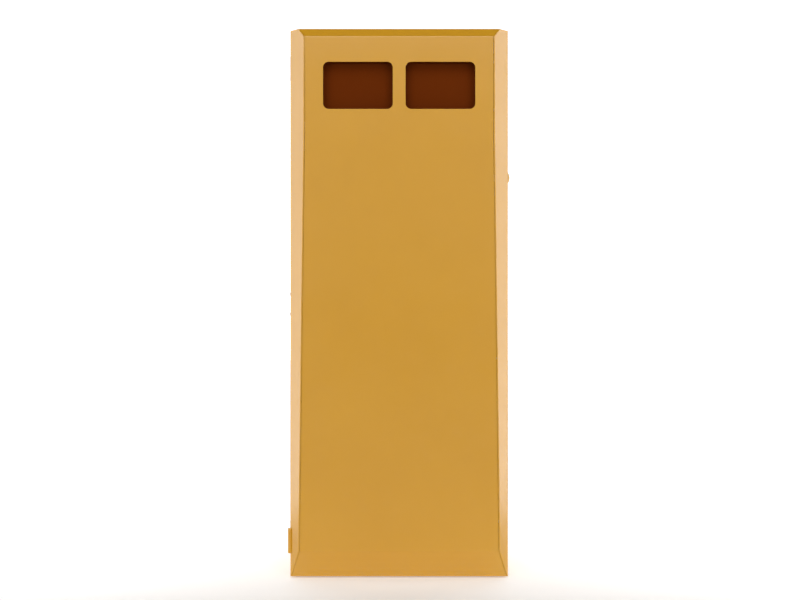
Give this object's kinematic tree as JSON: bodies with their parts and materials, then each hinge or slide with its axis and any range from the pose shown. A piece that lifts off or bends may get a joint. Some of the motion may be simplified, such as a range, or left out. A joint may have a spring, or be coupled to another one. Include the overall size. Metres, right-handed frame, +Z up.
{
  "type": "mailbox",
  "caption": "Freestanding sheet-steel mailbox column with posting apertures, gravity flaps, a hinged front door, a rod lock and an inner crate.",
  "frame": {"origin": "centre of the footprint on the ground", "axes": "+Z up, -Y is the front with the apertures, +X to the right seen from the front"},
  "size_m": [0.5117, 0.4216, 1.255],
  "materials": {
    "paint": "semi-gloss mustard powder coat",
    "brown_paint": "matt brown paint",
    "dark_steel": "dark painted steel",
    "zinc": "zinc-plated steel",
    "rubber": "matt rubber",
    "brass": "plain brass"
  },
  "bodies": {
    "cabinet": {"left_wall": "paint", "right_wall": "paint", "back_panel": "paint", "roof": "paint", "jamb_left": "paint", "jamb_right": "paint", "header": "paint", "sill": "paint", "base_plate": "dark_steel", "body_hinge_leaves": "zinc", "hinge_pins": "zinc", "keeper_upper": "zinc", "keeper_lower": "zinc", "letter_chute": "zinc", "crate_rail_left": "zinc", "crate_rail_right": "zinc", "crate": "zinc", "back_rivets": "zinc", "door_gasket": "rubber", "hinge_washers": "brass"},
    "door": {"door_front": "paint", "door_cheek_left": "paint", "door_cheek_right": "paint", "door_ribs": "paint", "rain_collar_left": "brown_paint", "rain_collar_right": "brown_paint", "flap_pins": "zinc", "door_hinge_leaves": "zinc", "corner_buffer": "paint", "security_bolt": "zinc", "security_bolt_screws": "zinc", "lock_case": "dark_steel", "cover_rivet": "zinc", "rod_guides": "zinc"},
    "flap_left": {"flap_left": "brown_paint"},
    "flap_right": {"flap_right": "brown_paint"},
    "lock_plug": {"lock_plug": "zinc"},
    "lock_cover": {"lock_cover": "paint"},
    "upper_rod": {"upper_rod": "zinc"},
    "lower_rod": {"lower_rod": "zinc"},
    "crate_handle": {"crate_handle": "dark_steel"}
  },
  "joints": [
    {"name": "door_swing", "type": "hinge", "parent": "cabinet", "child": "door", "pos_m": [-0.2507, -0.127, 0.6], "axis": [0, 0, -1], "range_deg": [0, 172]},
    {"name": "flap_left_swing", "type": "hinge", "parent": "door", "child": "flap_left", "pos_m": [-0.0935, -0.1785, 1.1865], "axis": [1, 0, 0], "range_deg": [0, 60]},
    {"name": "flap_right_swing", "type": "hinge", "parent": "door", "child": "flap_right", "pos_m": [0.0935, -0.1785, 1.1865], "axis": [1, 0, 0], "range_deg": [0, 60]},
    {"name": "lock_turn", "type": "hinge", "parent": "door", "child": "lock_plug", "pos_m": [0.212, -0.15, 0.92], "axis": [-1, 0, 0], "range_deg": [0, 90]},
    {"name": "upper_rod_slide", "type": "slide", "parent": "door", "child": "upper_rod", "axis": [0, 0, 1], "range_m": [0, 0.0126]},
    {"name": "lower_rod_slide", "type": "slide", "parent": "door", "child": "lower_rod", "axis": [0, 0, -1], "range_m": [0, 0.01256]},
    {"name": "lock_cover_swivel", "type": "hinge", "parent": "door", "child": "lock_cover", "pos_m": [0.252, -0.15, 0.9305], "axis": [1, 0, 0], "range_deg": [-110, 110]},
    {"name": "crate_handle_swing", "type": "hinge", "parent": "cabinet", "child": "crate_handle", "pos_m": [0, 0.045, 0.44], "axis": [-1, 0, 0], "range_deg": [0, 120]}
  ],
  "couplings": [
    {"joint": "upper_rod_slide", "follows": "lower_rod_slide", "ratio": 1},
    {"joint": "lock_turn", "follows": "lower_rod_slide", "rad_per_m": 125}
  ]
}
